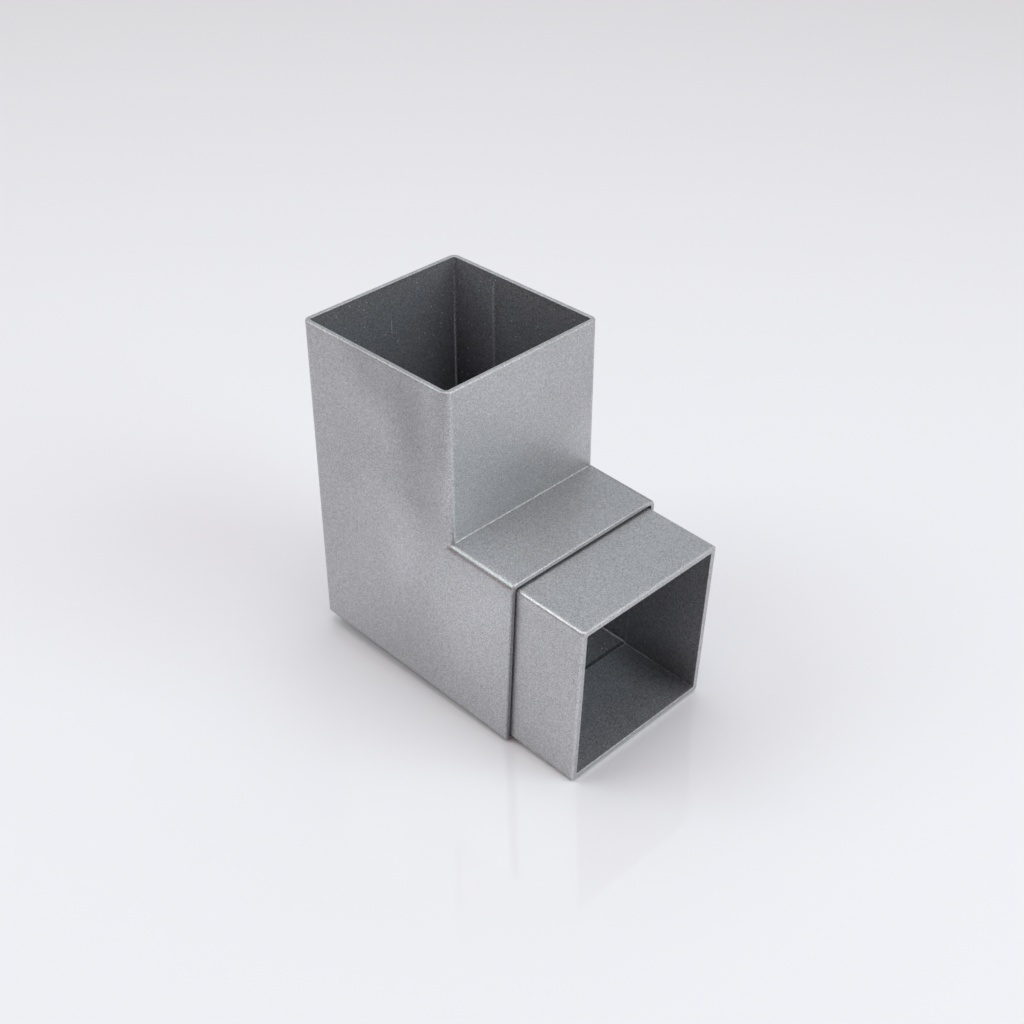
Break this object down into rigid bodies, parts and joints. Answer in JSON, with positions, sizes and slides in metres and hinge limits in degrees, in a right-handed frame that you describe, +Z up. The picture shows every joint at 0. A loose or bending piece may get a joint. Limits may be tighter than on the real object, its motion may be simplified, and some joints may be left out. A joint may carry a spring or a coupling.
{
  "type": "downspout elbow",
  "caption": "Square downspout elbow: a mitred, powder-coated steel bend with an open inlet on top and a short square sleeve standing out of its gently falling outlet.",
  "frame": {"origin": "middle of the underside of the part's box, on the level that its outlet rim stands on", "axes": "+Z up the inlet leg and out of its mouth, +X the way the outlet leg points (it falls 2.5 degrees below +X), Y across the tube, symmetric about Y = 0"},
  "size_m": [0.146, 0.08, 0.1473],
  "materials": {
    "body_powder_coat": "fine-textured silver-grey metallic powder coat, satin",
    "sleeve_powder_coat": "fine-textured silver-grey metallic powder coat, satin"
  },
  "bodies": {
    "root": {"elbow_body": "body_powder_coat", "spigot_sleeve": "sleeve_powder_coat"}
  },
  "joints": []
}
